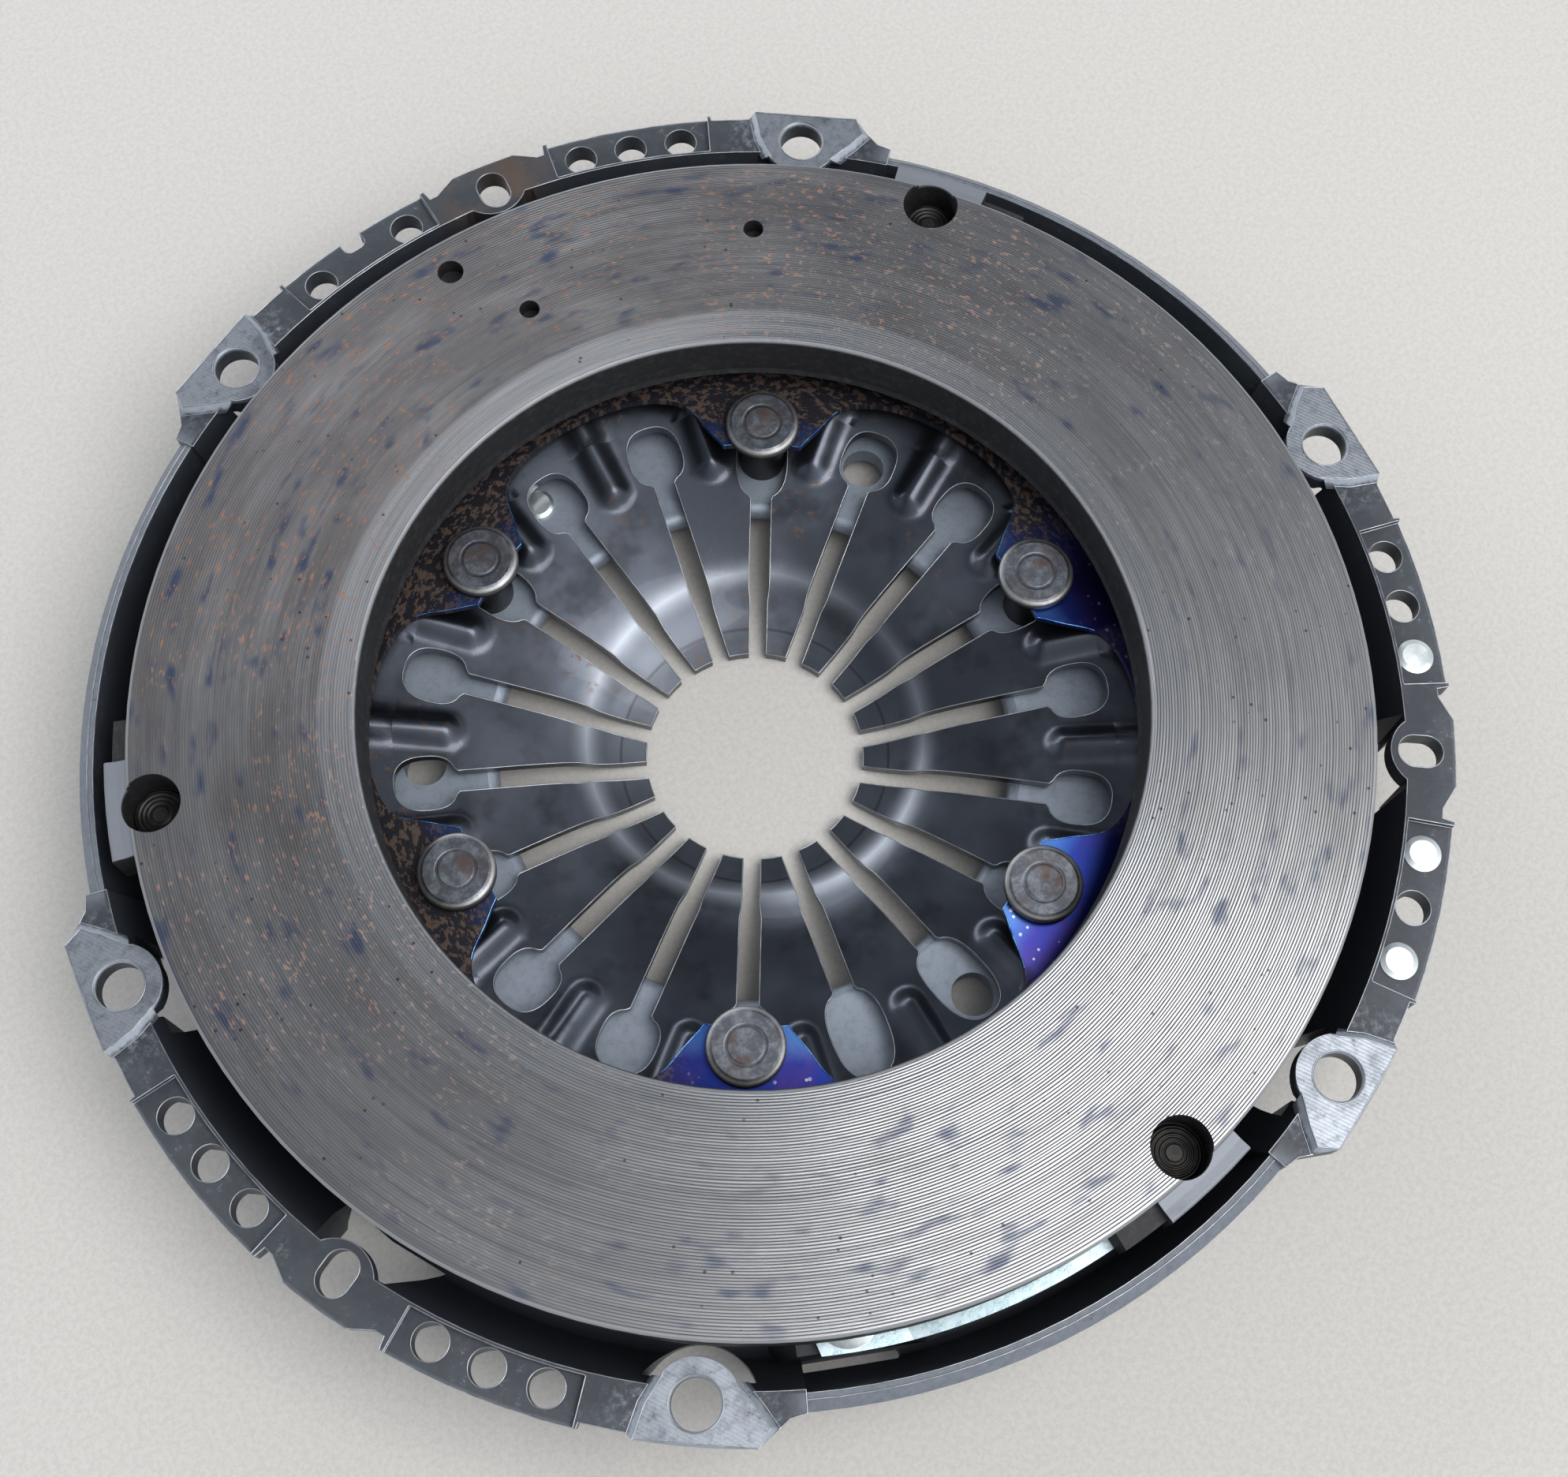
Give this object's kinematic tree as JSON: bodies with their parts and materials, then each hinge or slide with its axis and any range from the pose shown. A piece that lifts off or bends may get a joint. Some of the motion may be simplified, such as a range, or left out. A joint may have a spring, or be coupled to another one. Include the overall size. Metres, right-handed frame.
{
  "type": "clutch pressure plate",
  "caption": "Round clutch pressure plate with a pressed steel cover, grooved friction ring, sprung finger diaphragm, sensor spring, drive straps and a ramp-type wear adjuster.",
  "frame": {"origin": "centre of the six mounting bolts, on the face of the mounting tabs", "axes": "+Z along the clutch axis towards the flywheel; +X through one mounting hole, +Y through one dowel slot"},
  "size_m": [0.274, 0.2683, 0.0414],
  "materials": {
    "cover_paint": "thin black paint, worn to bare steel on the raised edges",
    "cast_iron": "turned friction face with fine circular grooves",
    "spring_steel": "dark tempered spring steel",
    "sensor_coating": "blue tempered spring steel",
    "bolt_steel": "plain forged steel, bare coined heads",
    "strap_steel": "bright spring strip",
    "zinc_plate": "bright zinc plate",
    "phosphated_steel": "dark grey phosphate"
  },
  "bodies": {
    "cover_body": {"cover": "cover_paint", "standoff_bolt_1": "bolt_steel", "standoff_bolt_2": "bolt_steel", "standoff_bolt_3": "bolt_steel", "standoff_bolt_4": "bolt_steel", "standoff_bolt_5": "bolt_steel", "standoff_bolt_6": "bolt_steel", "sensor_diaphragm": "sensor_coating", "drive_strap_1_1": "strap_steel", "drive_strap_1_2": "strap_steel", "drive_strap_2_1": "strap_steel", "drive_strap_2_2": "strap_steel", "drive_strap_3_1": "strap_steel", "drive_strap_3_2": "strap_steel", "cover_strap_rivet_1": "zinc_plate", "cover_strap_rivet_2": "zinc_plate", "cover_strap_rivet_3": "zinc_plate", "balance_rivet_1": "zinc_plate", "balance_rivet_2": "zinc_plate", "balance_rivet_3": "zinc_plate", "stop_pin": "zinc_plate"},
    "diaphragm_body": {"main_diaphragm": "spring_steel"},
    "adjuster_body": {"adjuster_ring": "phosphated_steel", "adjuster_spring_1": "phosphated_steel", "adjuster_spring_2": "phosphated_steel", "adjuster_spring_3": "phosphated_steel"},
    "plate_body": {"pressure_plate": "cast_iron", "plate_strap_rivet_1": "zinc_plate", "plate_strap_rivet_2": "zinc_plate", "plate_strap_rivet_3": "zinc_plate"}
  },
  "joints": [
    {"name": "wear_lift", "type": "slide", "parent": "cover_body", "child": "diaphragm_body", "axis": [0, 0, 1], "range_m": [0, 0.0025], "stiffness_N_per_m": 40000, "deforming": ["sensor_diaphragm", "drive_strap_1_1", "drive_strap_1_2", "drive_strap_2_1", "drive_strap_2_2", "drive_strap_3_1", "drive_strap_3_2"]},
    {"name": "adjuster_turn", "type": "hinge", "parent": "diaphragm_body", "child": "adjuster_body", "pos_m": [0, 0, 0], "axis": [0, 0, 1], "range_deg": [0, 15.13], "deforming": ["adjuster_spring_1", "adjuster_spring_2", "adjuster_spring_3"]},
    {"name": "plate_lift", "type": "slide", "parent": "diaphragm_body", "child": "plate_body", "axis": [0, 0, 1], "range_m": [-0.0018, 0], "stiffness_N_per_m": 60000, "deforming": ["main_diaphragm", "drive_strap_1_1", "drive_strap_1_2", "drive_strap_2_1", "drive_strap_2_2", "drive_strap_3_1", "drive_strap_3_2"]}
  ],
  "couplings": [
    {"joint": "adjuster_turn", "follows": "wear_lift", "rad_per_m": 105.42}
  ]
}
